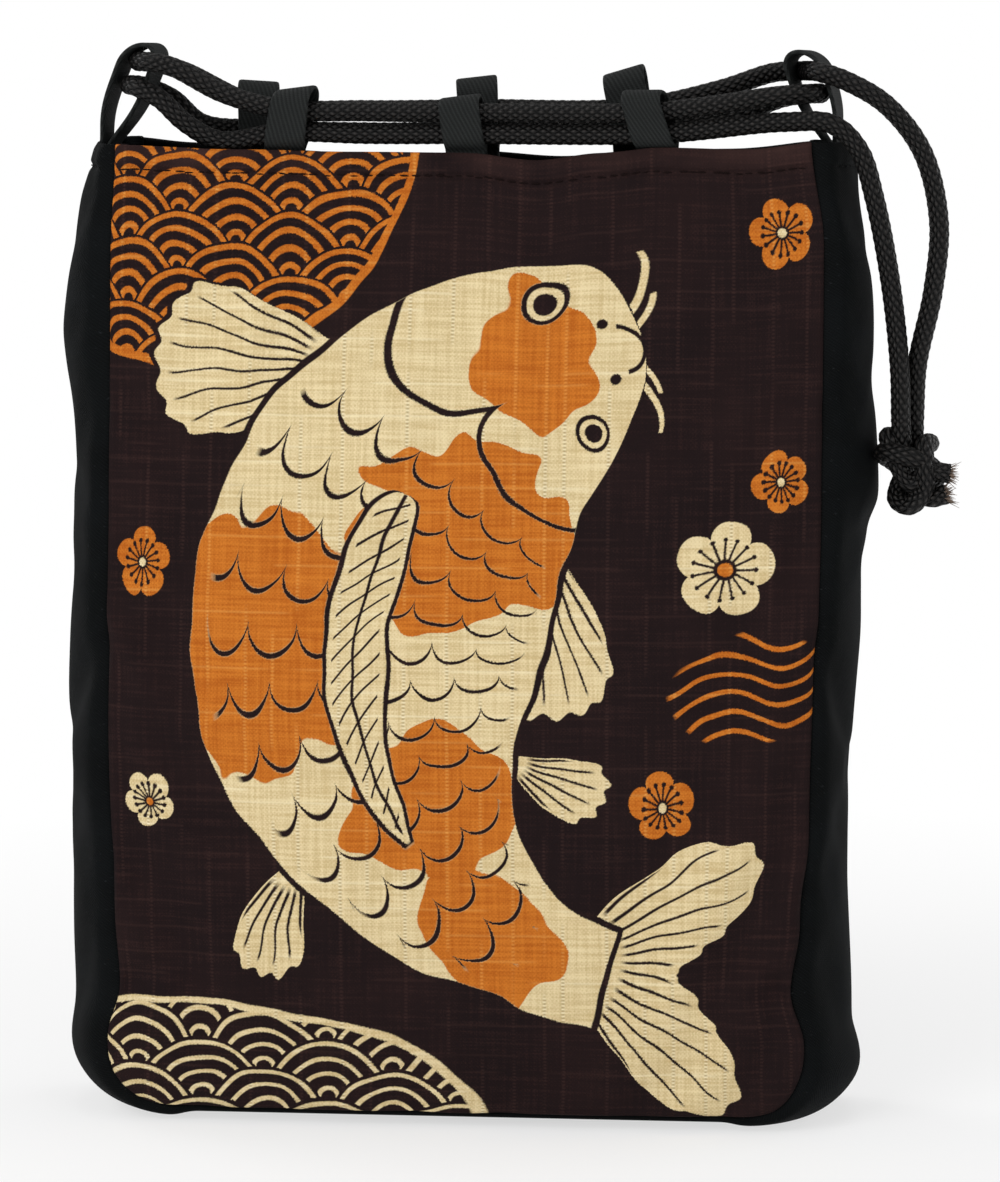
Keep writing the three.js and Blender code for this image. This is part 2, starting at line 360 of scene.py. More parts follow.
def threadThrough(points, step):  # a centripetal Catmull-Rom line, as evenly spaced points
    given = np.array(points, float)
    given = np.vstack([2 * given[0] - given[1], given, 2 * given[-1] - given[-2]])
    found = []
    for i in range(len(given) - 3):
        p0, p1, p2, p3 = given[i:i + 4]
        d0, d1, d2 = (max(np.linalg.norm(b - a), 1e-9) ** 0.5 for a, b in ((p0, p1), (p1, p2), (p2, p3)))
        out = ((p1 - p0) / d0 - (p2 - p0) / (d0 + d1) + (p2 - p1) / d1) * d1
        into = ((p2 - p1) / d1 - (p3 - p1) / (d1 + d2) + (p3 - p2) / d2) * d1
        t = np.arange(24)[:, None] / 24
        found.append(
            p1 + out * t
            + (3 * (p2 - p1) - 2 * out - into) * t ** 2
            + (2 * (p1 - p2) + out + into) * t ** 3
        )
    found = np.vstack([*found, given[-2:-1]])
    along = np.r_[0, np.cumsum(np.linalg.norm(np.diff(found, axis=0), axis=1))]
    at = np.linspace(0, along[-1], int(round(along[-1] / step)) + 1)
    return np.stack([np.interp(at, along, found[:, k]) for k in range(3)], axis=1), at


def sideways(path):  # two directions across each step of a path, carried along without a twist
    ahead = np.gradient(path, axis=0)
    ahead /= np.linalg.norm(ahead, axis=1)[:, None]
    first = np.cross(ahead[0], (0.3, 0.9, 0.2))
    across = np.zeros_like(path)
    across[0] = first / np.linalg.norm(first)
    for i in range(1, len(path)):
        carried = across[i - 1] - ahead[i] * (across[i - 1] @ ahead[i])
        across[i] = carried / np.linalg.norm(carried)
    return across, np.cross(ahead, across)


def braidHeight(around, along):  # 0 between the strands and 1 on top of one
    a = around * cord["strandsRound"] + along / cord["pitch"]
    b = around * cord["strandsRound"] - along / cord["pitch"]
    return np.sqrt(np.abs(np.sin(np.pi * a) * np.sin(np.pi * b)))


def braidedMesh(name, points):  # a grid rolled up along the path and closed at both ends
    path, at = threadThrough(points, cord["step"])
    across, up = sideways(path)
    mesh = gridMesh(name, cord["sides"], len(path) - 1)
    flat = pointsOf(mesh)
    around = (flat[:, 0] + 1) / 2
    row = np.rint((flat[:, 1] + 1) / 2 * (len(path) - 1)).astype(int)
    radius = cord["diameter"] / 2 + cord["relief"] * (braidHeight(around, at[row]) - 0.4)
    angle = 2 * np.pi * around[:, None]
    out = across[row] * np.cos(angle) + up[row] * np.sin(angle)
    setPoints(mesh, path[row] + out * radius[:, None])
    setCloth(mesh, np.stack([around, at[row]], axis=1))
    bm = opened(mesh)
    bmesh.ops.remove_doubles(bm, verts=bm.verts, dist=1e-6)
    bmesh.ops.holes_fill(bm, edges=[e for e in bm.edges if e.is_boundary], sides=0)
    bmesh.ops.recalc_face_normals(bm, faces=bm.faces)
    return closed(bm, mesh), path


def frayedEnd(tip, ahead, seed):  # loose fibres that stand out of a cut end
    dice = np.random.default_rng(seed)
    bm = bmesh.new()
    uv = bm.loops.layers.uv.new("Cloth")
    turn = Vector(ahead).to_track_quat("Z", "Y")
    for _ in range(knot["fibres"]):
        angle = dice.uniform(0, 2 * math.pi)
        reach = math.sqrt(dice.uniform(0, 1)) * knot["spread"] * mm
        long = knot["fibreLength"] * dice.uniform(0.45, 1.0) * mm
        lean = dice.normal(0, 0.22, 2)
        made = bmesh.ops.create_cone(
            bm, cap_ends=True, segments=5, depth=long,
            radius1=knot["fibreRoot"] * mm, radius2=knot["fibreTip"] * mm,
        )["verts"]
        start = Vector((0, 0, long / 2 - knot["sunk"] * mm))
        for vert in made:
            height = vert.co.z + long / 2
            side = Vector((math.cos(angle), math.sin(angle), 0)) * reach
            side *= 1 + height / (knot["splay"] * mm)
            bend = Vector((*lean, 0)) * height * (height / long)
            vert.co = Vector(tip) + turn @ (vert.co + start + side + bend)
    for face in bm.faces:
        for loop in face.loops:
            loop[uv].uv = (0.5, -1.0)  # outside any cord length: the material shows pale fibre there
    return closed(bm, "fibres")


def makeCord(material):
    mesh, path = braidedMesh("braided_cord", cordRoute)
    piece = addObject("braided_cord", mesh, material)
    place = np.array(knot["place"])
    parts = []
    for seed, end in enumerate((knot["firstEnd"], knot["secondEnd"])):
        route = [place + np.array(point) * mm for point in end]
        part, middle = braidedMesh("knot_end", route)
        parts.append(part)
        parts.append(frayedEnd(middle[-1], middle[-1] - middle[-6], seed + 7))
    tied = addObject("tied_knot", closed(opened(*parts), "tied_knot"), material)
    for made, node in ((piece, "drawstring"), (tied, "knot")):
        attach(made, "root")
        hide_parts(node)
    print("cord and knot made")


def cordMaterial():
    m = Material("braided cord")
    around, along, _ = m.split(1.0)
    a = around.scaled(cord["strandsRound"], along * (1 / cord["pitch"]))
    b = around.scaled(cord["strandsRound"], along * (-1 / cord["pitch"]))
    top = ((a * math.pi).math("SINE") * (b * math.pi).math("SINE")).size()  # 1 on top of each stitch
    fuzz = m.noise(around * 16, along * 1500)
    # the tops of the stitches are painted pale grey and the gaps between them near black: painted highlight
    # and painted shade
    paintedShadeAndHighlight = m.mix(top.math("POWER", 4.0), rgb(4, 4, 4), rgb(51, 48, 46))
    paintedShadeAndHighlight = m.mix((fuzz - 0.5) * 0.6, paintedShadeAndHighlight, rgb(36, 29, 27))
    pale = inside(along + 0.5, 0.1)
    paintedShadeAndHighlight = m.mix(pale, paintedShadeAndHighlight, rgb(120, 104, 92))
    return m.finish(paintedShadeAndHighlight, top.math("SQRT"), depth=0.42, strength=0.9, rough=0.45, shine=0.18)


# The bag's shell: the outline and swell that the CAD panels have, in millimetres

bag = {
    "width": 194, "rim": 256, "corner": 20, "foot": 2.4,
    "baseDepth": 56, "mouthCornerDepth": 32, "mouthMiddleDepth": 18,
    "taperReach": 150, "mouthReach": 60, "crown": 7, "cloth": 2,
    "sideSwell": 10.5, "rimSwell": 1.5, "swellReach": 50, "clearance": 0.4,
    "columns": 40, "cornerRows": 8, "sideRows": 46, "gussetColumns": 14,
    "hem": 6.4, "hemThick": 1.9, "fineRows": 10,  # the mesh is finer this far down from the rim
}
halfWidth = bag["width"] / 2
sideFoot = bag["foot"] + bag["corner"]
mouthPinch = (bag["mouthCornerDepth"] - bag["mouthMiddleDepth"]) / 2


def nearRim(z, reach):
    return smooth(z, bag["rim"] - reach, bag["rim"])


def seamDepth(z):  # half the depth between the panels' inner faces at their edges
    base, mouth = bag["baseDepth"] / 2, bag["mouthCornerDepth"] / 2
    return base + (mouth - base) * nearRim(z, bag["taperReach"])


def panelOut(x, z, edge):  # distance of a panel's outer face from the middle plane
    share = (z - bag["foot"]) / (bag["rim"] - bag["foot"])
    crown = bag["crown"] * np.sin(np.pi * share) - mouthPinch * nearRim(z, bag["mouthReach"])
    return seamDepth(z) + crown * (1 - (x / edge) ** 2) + bag["cloth"]


def closer(t):  # packs a grid's columns towards both ends, where the seams are
    return t + 0.1 * math.sin(math.pi * t)


def outlineAt(row):  # right half of the outline: edge x, z, outward x and z
    if row <= bag["cornerRows"]:
        angle = row / bag["cornerRows"] * math.pi / 2
        outX, outZ = math.sin(angle), -math.cos(angle)
        return halfWidth + bag["corner"] * (outX - 1), sideFoot + bag["corner"] * outZ, outX, outZ
    share = (row - bag["cornerRows"]) / bag["sideRows"]
    share += 0.07 * math.sin(math.pi * share)
    return halfWidth, sideFoot + (bag["rim"] - sideFoot) * share, 1.0, 0.0


def gussetStrip():  # the whole outline from the left rim to the right one, and the length along it
    outline = [outlineAt(row) for row in range(bag["cornerRows"] + bag["sideRows"] + 1)]
    left = [(-x, z, -outX, outZ) for x, z, outX, outZ in reversed(outline)]
    base = []
    for column in range(1, bag["columns"]):
        x = (halfWidth - bag["corner"]) * closer(2 * column / bag["columns"] - 1)
        base.append((x, bag["foot"], 0.0, -1.0))
    places = np.array([*left, *base, *outline])
    steps = np.linalg.norm(np.diff(places[:, :2], axis=0), axis=1)
    along = np.r_[0, np.cumsum(steps)]
    return places, along - along[-1] / 2


strip, stripAlong = gussetStrip()


def clothShell():
    bm = bmesh.new()
    uv = bm.loops.layers.uv.new("Cloth")
    part = bm.faces.layers.int.new("part")
    rows = bag["cornerRows"] + bag["sideRows"]
    columns = bag["columns"]

    def addGrid(number, across, along, place):
        made = bmesh.ops.create_grid(bm, x_segments=across, y_segments=along, size=1)["verts"]
        pattern = {}
        for vert in made:
            column = round((vert.co.x + 1) / 2 * across)
            row = round((vert.co.y + 1) / 2 * along)
            point, pattern[vert] = place(column, row)
            vert.co = Vector(point) * mm
        for face in {face for vert in made for face in vert.link_faces}:
            face[part] = number
            for loop in face.loops:
                loop[uv].uv = Vector(pattern[loop.vert]) * mm

    def panel(side):
        def place(column, row):
            edge, z, _, _ = outlineAt(row)
            x = edge * closer(2 * column / columns - 1)
            return (x, side * float(panelOut(x, z, edge)), z), (x, z)
        return place

    def gusset(column, row):
        x, z, outX, outZ = strip[row]
        across = closer(2 * column / bag["gussetColumns"] - 1)
        depth = float(seamDepth(z)) + bag["cloth"]
        share = float(nearRim(z, bag["swellReach"]))
        swell = bag["sideSwell"] + (bag["rimSwell"] - bag["sideSwell"]) * share
        out = (swell * outX * outX + bag["foot"] * 0.9) * (1 - across * across) ** 0.8
        return (x + outX * out, across * depth, z + outZ * out), (across * depth, stripAlong[row])

    addGrid(0, columns, rows, panel(-1))
    addGrid(1, columns, rows, panel(1))
    addGrid(2, bag["gussetColumns"], len(strip) - 1, gusset)
    bmesh.ops.remove_doubles(bm, verts=bm.verts, dist=1e-5)
    bmesh.ops.recalc_face_normals(bm, faces=bm.faces)
    mesh = closed(bm, "shell")
    front = next(face for face in mesh.polygons if face.center.y < -0.02 and face.center.z > 0.1)
    if front.normal.y > 0:
        mesh.flip_normals()
    return mesh


relax = {
    "frames": 24, "growth": -0.014, "pressure": 1.6, "gravity": 0.35, "quality": 6, "mass": 0.25,
    "tension": 12, "bending": 3.5, "cap": 4.5,  # the cap on how far a point may move, in millimetres
    "seamHold": 0.5, "clothHold": 0.22,  # how firmly the seams and the rest of the cloth are held
    "rimBand": 3, "baseReach": 72,  # the rim is held fast, and the base up to here on both sides
}


def settle(shell):  # lets the sewn shell settle as cloth
    rest = pointsOf(shell.data)
    parts = [set() for _ in rest]
    for face, number in zip(shell.data.polygons, shell.data.attributes["part"].data):
        for vertex in face.vertices:
            parts[vertex].add(number.value)
    group = shell.vertex_groups.new(name="held")
    for vertex, (x, _, z) in enumerate(rest / mm):
        weight = relax["seamHold"] if len(parts[vertex]) > 1 else relax["clothHold"]
        atBase = z < bag["foot"] + 0.5 and abs(x) < relax["baseReach"]
        if atBase or z > bag["rim"] - relax["rimBand"]:
            weight = 1.0
        group.add([vertex], weight, "REPLACE")
    modifier = shell.modifiers.new("Cloth", "CLOTH")
    cloth = modifier.settings
    cloth.quality = relax["quality"]
    cloth.mass = relax["mass"]
    cloth.tension_stiffness = cloth.compression_stiffness = relax["tension"]
    cloth.shear_stiffness = relax["tension"] / 2
    cloth.bending_stiffness = relax["bending"]
    cloth.vertex_group_mass = "held"
    cloth.shrink_min = cloth.shrink_max = relax["growth"]
    cloth.use_pressure = True
    cloth.uniform_pressure_force = relax["pressure"]
    cloth.effector_weights.gravity = relax["gravity"]
    modifier.point_cache.frame_end = relax["frames"]
    for step in range(1, relax["frames"] + 1):
        bpy.context.scene.frame_set(step)
    graph = bpy.context.evaluated_depsgraph_get()
    settled = bpy.data.meshes.new_from_object(shell.evaluated_get(graph))
    moved = pointsOf(settled) - rest
    long = np.linalg.norm(moved, axis=1)
    cap = relax["cap"] * mm
    moved *= (cap * np.tanh(long / cap) / np.maximum(long, 1e-9))[:, None]
    shell.modifiers.remove(modifier)
    setPoints(shell.data, rest + moved)
    bpy.data.meshes.remove(settled)
    bpy.context.scene.frame_set(1)
    print(f"shell settled, {long.mean() / mm:.2f} mm moved on average, {long.max() / mm:.2f} mm at most")


# What the photo shows of the shell's own shape: (height, shift outward) up each side, in millimetres
sway = {
    "seamLeft": [
        (0, -1), (9, -1.2), (24, -2), (37, -5.5), (57, -4.2), (110, -2.8), (185, -2.6), (230, -2.4),
        (256, -3.4),
    ],
    "seamRight": [
        (0, -3), (14, -4.5), (25, -4.4), (38, -8.2), (57, -5.6), (80, -3.6), (165, -0.9), (230, -0.9),
        (256, -4),
    ],
    "seamBehind": [(0, -1), (30, -2), (60, -4), (120, -1.5), (190, -3), (256, -2.5)],
    "sideLeft": [
        (0, 0), (16, -1), (31, -3.6), (50, -3.2), (121, -2.1), (155, -3.4), (178, -4.6), (211, -1),
        (241, 1), (256, -1.4),
    ],
    "sideRight": [
        (0, 0), (15, -2.5), (27, -7.5), (72, -9), (105, -7.3), (135, -5.2), (158, -4), (167, -1.2),
        (204, -2.8), (235, 0), (256, 1),
    ],
    # (x, lift) along the rims
    "rimFront": [
        (-97, 2.4), (-60, 1.2), (-30, 0.6), (0, 0.4), (19, -1.6), (36, 0.4), (52, 1.8), (75, 1.4),
        (97, 3.2),
    ],
    "rimBehind": [
        (-97, 4.2), (-75, 2.6), (-57, 1), (-20, -0.6), (2, 0.6), (24, -0.8), (43, 0.6), (70, 1.2),
        (97, 3.4),
    ],
    "rimReach": (170, 256),  # heights between which the rims' lift begins
    "foot": 0.9, "footReach": (3, 26),  # how far the seams lie up at the foot, and where that ends
    "lip": 1.1,  # how far the base rolls out beside its seams
    # creases on the front: from x, z to x, z, half width, depth
    "creases": [
        ((89, 38), (58, 55), 4.5, 2.4), ((90, 40), (70, 30), 3.5, 1.2), ((-93, 37), (-70, 48), 4, 1.6),
        ((-90, 60), (-80, 100), 6, 0.8), ((48, 250), (40, 215), 5, 0.9), ((-50, 250), (-58, 222), 4.5, 0.8),
        ((-92, 246), (-78, 205), 6, 1), ((92, 240), (84, 196), 5, 1), ((2, 250), (6, 226), 4, 0.7),
    ],
}

seamTuck = {
    "depth": 1.3, "reach": 1.7,  # how far the seams are drawn in, and over what width
    "stiff": (0.3, 5),  # between these distances the cloth comes free of its seam
    "turnings": (1.2, 3.2),  # the two steps of the turned-in edges
    "panelFold": (0.5, 0.87), "gussetFold": (0.85, 0.53),  # their way: in from the outline, and towards y = 0
}
hemShape = {
    "lift": 0.55, "groove": 0.7, "grooveWidth": 0.75, "roll": 0.9, "rollReach": 1.3,
    "pucker": 0.46, "puckerReach": 4.5,
    "ripples": [(1.35, 0, 0.55), (2.1, 1.1, 0.5), (0.83, 0.4, 0.25)],
}


def outlineGap(x, z):  # distance in from a panel's outline, and the way out, for arrays in millimetres
    aside = np.abs(x)
    cornerX, cornerZ = aside - (halfWidth - bag["corner"]), sideFoot - z
    arc = (cornerX > 0) & (cornerZ > 0)
    reach = np.maximum(np.hypot(cornerX, cornerZ), 1e-6)
    toSide, toFoot = halfWidth - aside, z - bag["foot"]
    gap = np.where(arc, bag["corner"] - reach, np.minimum(toSide, toFoot))
    outX = np.where(arc, cornerX / reach, (toSide < toFoot) * 1.0) * np.sign(x)
    outZ = np.where(arc, -cornerZ / reach, (toSide >= toFoot) * -1.0)
    return gap, outX, outZ


def puckered(along):  # an uneven ripple, from about -1.3 to 1.3
    return sum(np.sin(along / every + start) * high for every, start, high in hemShape["ripples"])


def hemOut(below, along):  # outward offset of a hemmed edge, by the distance below the rim
    lift = hemShape["lift"] * (1 - smooth(below, bag["hem"] - 1.4, bag["hem"]))
    groove = -hemShape["groove"] * np.exp(-((below - bag["hem"]) / hemShape["grooveWidth"]) ** 2)
    roll = -hemShape["roll"] * np.exp(-(below / hemShape["rollReach"]) ** 2)
    pucker = hemShape["pucker"] * puckered(along)
    pucker *= np.exp(-((below - bag["hem"]) / hemShape["puckerReach"]) ** 2)
    return lift + groove + roll + pucker


def seamPull(gap):  # how far the cloth is drawn in beside a seam, and how free it is there
    return seamTuck["depth"] * np.exp(-(gap / seamTuck["reach"]) ** 2), smooth(gap, *seamTuck["stiff"])


def turningWay(outX, outZ, y, fold):
    return np.stack([-outX * fold[0], -np.sign(y) * fold[1], -outZ * fold[0]], axis=1)


def footLift(z):
    return sway["foot"] * (1 - smooth(z, *sway["footReach"]))


def dressPanel(mesh, side):  # side is -1 for the front
    flat = clothPlaces(mesh) / mm
    x, z = flat.T
    points = pointsOf(mesh) / mm
    gap, outX, outZ = outlineGap(x, z)
    tuck, free = seamPull(gap)
    share = np.abs(x / halfWidth) ** 5
    if side < 0:
        shift = np.where(x < 0, eased(z, sway["seamLeft"]), eased(z, sway["seamRight"]))
        lift = eased(x, sway["rimFront"])
    else:
        shift = eased(z, sway["seamBehind"])
        lift = eased(x, sway["rimBehind"])
    points[:, 0] += np.sign(x) * shift * share - outX * tuck
    points[:, 1] += side * (hemOut(bag["rim"] - z, x) * free - tuck)
    points[:, 2] += lift * smooth(z, *sway["rimReach"]) - outZ * tuck + footLift(z)
    if side < 0:
        for start, end, half, depth in sway["creases"]:
            way = np.subtract(end, start)
            long = np.linalg.norm(way)
            offset = flat - start
            along = offset @ way / long ** 2
            across = (offset[:, 0] * way[1] - offset[:, 1] * way[0]) / long
            fade = smooth(along, -0.25, 0.1) * (1 - smooth(along, 0.25, 1.1))
            points[:, 1] += depth * fade * free * np.exp(-(across / half) ** 2)
    setPoints(mesh, points * mm)
    return turningWay(outX, outZ, np.full(len(x), side), seamTuck["panelFold"])


def dressGusset(mesh):
    across, along = (clothPlaces(mesh) / mm).T
    points = pointsOf(mesh) / mm
    x, z, outX, outZ = (np.interp(along, stripAlong, strip[:, k]) for k in range(4))
    depth = seamDepth(z) + bag["cloth"]
    share = across / depth
    gap = depth - np.abs(across)
    tuck, free = seamPull(gap)
    seamShift = np.where(
        across > 0, eased(z, sway["seamBehind"]),
        np.where(x < 0, eased(z, sway["seamLeft"]), eased(z, sway["seamRight"])),
    )
    sideShift = np.where(x < 0, eased(z, sway["sideLeft"]), eased(z, sway["sideRight"]))
    shift = sideShift + (seamShift - sideShift) * share ** 2
    reachIn = np.abs(x / halfWidth) ** 5
    front = np.where(x < 0, sway["rimFront"][0][1], sway["rimFront"][-1][1])
    behind = np.where(x < 0, sway["rimBehind"][0][1], sway["rimBehind"][-1][1])
    lift = (front * (1 - share) + behind * (1 + share)) / 2 * smooth(z, *sway["rimReach"])
    lift += footLift(z) * share ** 4
    edge = hemOut(stripAlong[-1] - np.abs(along), across) * (np.abs(outX) > 0.99) * free
    lip = sway["lip"] * np.exp(-((gap - 3.2) / 2.4) ** 2) * smooth(-outZ, 0.4, 1) * smooth(gap, 0, 2)
    points[:, 0] += np.sign(x) * shift * reachIn + outX * (edge - tuck)
    points[:, 1] -= np.sign(across) * (tuck - lip)
    points[:, 2] += lift - outZ * tuck
    points[:, 2] = np.maximum(points[:, 2], 0.05)  # clear of the floor
    setPoints(mesh, points * mm)
    return turningWay(outX, outZ, across, seamTuck["gussetFold"])


def belowRim(mesh, flat):  # distance along the cloth from its hemmed end
    return stripAlong[-1] - np.abs(flat[:, 1]) if "gusset" in mesh.name else bag["rim"] - flat[:, 1]


def refine(mesh):  # more rows in the hem
    flat = clothPlaces(mesh) / mm
    below = belowRim(mesh, flat)
    bm = opened(mesh)
    rows = []
    for edge in bm.edges:
        a, b = (vert.index for vert in edge.verts)
        across, along = np.abs(flat[b] - flat[a])
        if along > across and (below[a] + below[b]) / 2 < bag["fineRows"]:
            rows.append(edge)
    bmesh.ops.subdivide_edges(bm, edges=rows, cuts=2, use_grid_fill=True)
    closed(bm, mesh)


def turnIn(mesh, ways):  # folds each seam's turning into the bag
    below = belowRim(mesh, clothPlaces(mesh) / mm)
    bm = opened(mesh)
    way = {vert: Vector(ways[vert.index]) for vert in bm.verts}
    atRim = {vert for vert in bm.verts if below[vert.index] <= 0.01}
    edges = [edge for edge in bm.edges if edge.is_boundary and not atRim.issuperset(edge.verts)]
    for reach in seamTuck["turnings"]:
        made = bmesh.ops.extrude_edge_only(bm, edges=edges)["geom"]
        fresh = {item for item in made if isinstance(item, bmesh.types.BMVert)}
        for vert in fresh:
            source = next(e.other_vert(vert) for e in vert.link_edges if e.other_vert(vert) not in fresh)
            way[vert] = way[source]
            vert.co = vert.co + way[vert] * reach * mm
        lines = [item for item in made if isinstance(item, bmesh.types.BMEdge)]
        edges = [edge for edge in lines if fresh.issuperset(edge.verts)]
    closed(bm, mesh)


def splitShell(shell):
    addSubdivision(shell)
    graph = bpy.context.evaluated_depsgraph_get()
    fine = bpy.data.meshes.new_from_object(shell.evaluated_get(graph))
    meshes = []
    for number, name in enumerate(("printed_front", "twill_back", "twill_gusset")):
        bm = opened(fine)
        part = bm.faces.layers.int["part"]
        others = [face for face in bm.faces if face[part] != number]
        bmesh.ops.delete(bm, geom=others, context="FACES")
        meshes.append(closed(bm, name))
    bpy.data.meshes.remove(fine)
    bpy.data.objects.remove(shell)
    return meshes


def hemGroup(piece, below):  # full thickness in the hem and half of it in the single cloth
    group = piece.vertex_groups.new(name="hem")
    for vertex, value in enumerate(1 - smooth(below, bag["hem"] - 0.6, bag["hem"] + 0.4)):
        group.add([vertex], float(value), "REPLACE")


flatArea = {  # in metres, with 10 mm turnings at both sides and 12 mm for each hem
    "panel": (0.214, 0.272),  # and 6 mm at the foot
    "gusset": (0.080, 0.708),
}


def setTiles(mesh, boxes):  # gives each face the material of the tile that it lies in
    places = clothPlaces(mesh) / mm
    for face in mesh.polygons:
        x, z = places[list(face.vertices)].mean(axis=0)
        left, right, foot, top = np.array(boxes).T
        apart = np.maximum(left - x, x - right).clip(0) + np.maximum(foot - z, z - top).clip(0)
        face.material_index = int(apart.argmin())


def makeBag(prints, reverse, twill):
    shell = addObject("shell", clothShell())
    settle(shell)
    front, back, gusset = splitShell(shell)
    for mesh in (front, back, gusset):
        refine(mesh)
    turnIn(front, dressPanel(front, -1))
    turnIn(back, dressPanel(back, 1))
    turnIn(gusset, dressGusset(gusset))
    made = {}
    for mesh, node, slot, flat, worn in (
        (front, "front_panel", "printed_cloth", flatArea["panel"], [*prints, reverse]),
        (back, "back_panel", "black_twill", flatArea["panel"], [twill]),
        (gusset, "gusset_strip", "black_twill", flatArea["gusset"], [twill]),
    ):
        mesh.materials.clear()
        if mesh is front:
            setTiles(mesh, tileBoxes())
        piece = addObject(mesh.name, mesh, *worn)
        hemGroup(piece, belowRim(mesh, clothPlaces(mesh) / mm))
        addThickness(piece, bag["hemThick"] * mm, group="hem", thin=0.5, back=len(worn) - 1)
        addSubdivision(piece)
        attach(piece, "root")
        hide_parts(node)
        made[node] = piece
    print("bag made")
    return made


# Stitches round the hem

stitches = {"every": 3.1, "long": 2.5, "thick": 0.42, "fromSeam": 3, "look": 1.2}


def makeStitching(pieces, brown, black):
    for node, thread, slot in (
        ("front_panel", brown, "printed_cloth"), ("back_panel", black, "black_twill"),
        ("gusset_strip", black, "black_twill"),
    ):
        mesh = pieces[node].data
        flat, points = clothPlaces(mesh) / mm, pointsOf(mesh)
        tree = KDTree(len(flat))
        for i, (u, v) in enumerate(flat):
            tree.insert((u, v, 0), i)
        tree.balance()

        def placeAt(u, v):
            near = tree.find_n((u, v, 0), 4)
            weights = np.array([1 / (far + 0.05) for _, _, far in near])
            return weights @ points[[i for _, i, _ in near]] / weights.sum()

        bm = bmesh.new()
        if node == "gusset_strip":
            half = bag["mouthCornerDepth"] / 2
            runs = [(half, stripAlong[-1] - bag["hem"]), (half, bag["hem"] - stripAlong[-1])]
        else:
            runs = [(halfWidth - stitches["fromSeam"], bag["rim"] - bag["hem"])]
        for half, v in runs:
            count = int(2 * half / stitches["every"])
            for i in range(count):
                u = (i + 0.5 - count / 2) * stitches["every"]
                here = Vector(placeAt(u, v))
                ahead = placeAt(u + stitches["look"], v) - placeAt(u - stitches["look"], v)
                turn = Vector(ahead).to_track_quat("X", "Z")
                made = bmesh.ops.create_uvsphere(bm, u_segments=8, v_segments=6, radius=0.5)["verts"]
                for vert in made:
                    vert.co.x *= stitches["long"]
                    vert.co.yz = vert.co.yz * stitches["thick"]
                    vert.co = here + turn @ (vert.co * mm)
        name = node.split("_")[0] + "_hem_stitches"
        piece = addObject(name, closed(bm, name), thread)
        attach(piece, "root")
    print("stitches made")


# Tape loops, with the CAD's places and sizes in millimetres

tape = {
    "width": 11, "thick": 1.2, "foldGap": 0.4, "tail": 6.4, "inset": 1.9,
    "columns": 8, "rows": 90,
    "rimBelly": 8.4, "sideBelly": 9.6,
    # name, place, height, lean, and degrees of twist and tilt at the top
    "front": [
        ("left", -48, 17.2, 3.4, -16, 7), ("middle", 0, 15, -1.3, -6, 8), ("right", 51, 16.6, -4.3, -12, 2),
    ],
    "back": [("left", -57, 19, 0, 6, -4), ("middle", 2, 20, -0.8, 7, 7), ("right", 43, 22, -2.4, -6, 17)],
    "side": [("left", -1, 29, 12, -8, 0), ("right", 1, 27, 9, -10, 0)],
    "sideTurn": -4,  # degrees, all the way up
    "cup": 0.28,  # how far a tape's edges stand out from its middle
    "rimLegs": (2.3, 1.7, 4.8), "sideLegs": (5, 8, 18),  # heights that shape the legs
}


def tapeMesh(name, height, belly, legs, lean, aside, twist, tilt, seed):
    dice = np.random.default_rng(seed)
    endOffset = (tape["thick"] + tape["foldGap"]) / 2
    half = belly / 2
    archFoot = height - tape["thick"] / 2 - half
    t = np.linspace(0, 1, 15)[:, None]
    a, b, c, d = (np.array(p) for p in (
        (endOffset, 0), (endOffset, legs[0]), (half, legs[1]), (half, legs[2]),
    ))
    leg = a * (1 - t) ** 3 + 3 * b * t * (1 - t) ** 2 + 3 * c * t ** 2 * (1 - t) + d * t ** 3
    up = np.vstack([[(endOffset, -tape["tail"])], leg])
    angle = np.linspace(math.pi, 0, 25)[:, None]
    arch = np.hstack([half * np.cos(angle), archFoot + half * np.sin(angle)])
    middle = np.vstack([up * (-1, 1), arch, up[::-1]])
    along = np.r_[0, np.cumsum(np.linalg.norm(np.diff(middle, axis=0), axis=1))]
    at = np.linspace(0, along[-1], tape["rows"] + 1)
    depth, rise = (np.interp(at, along, middle[:, k]) for k in range(2))
    mesh = gridMesh(name, tape["columns"], tape["rows"])
    flat = pointsOf(mesh)
    row = np.rint((flat[:, 1] + 1) / 2 * tape["rows"]).astype(int)
    across = flat[:, 0] * tape["width"] / 2
    up, high = rise[row], np.maximum(rise[row], 0) / height
    out = np.sign(depth[row]) * np.clip(np.abs(depth[row]) / half, 0, 1)
    y = depth[row] + tape["cup"] * out * (flat[:, 0] ** 2 - 0.4) * smooth(up, 1, 6)
    turn = math.radians(twist) * smooth(high, -0.2, 1)
    wave = dice.normal(0, 0.22, 4)
    x = across + wave[0] * np.sin(high * 3) + wave[1] * np.sin(at[row] / 6 + wave[2] * 9)
    points = np.stack([
        x * np.cos(turn) - y * np.sin(turn) + aside * up / height,
        x * np.sin(turn) + y * np.cos(turn) + lean * high,
        up + (0.25 * wave[3] * flat[:, 0] + across * math.tan(math.radians(tilt))) * high,
    ], axis=1)
    setPoints(mesh, points * mm)
    setCloth(mesh, np.stack([across, at[row]], axis=1) * mm)
    return mesh


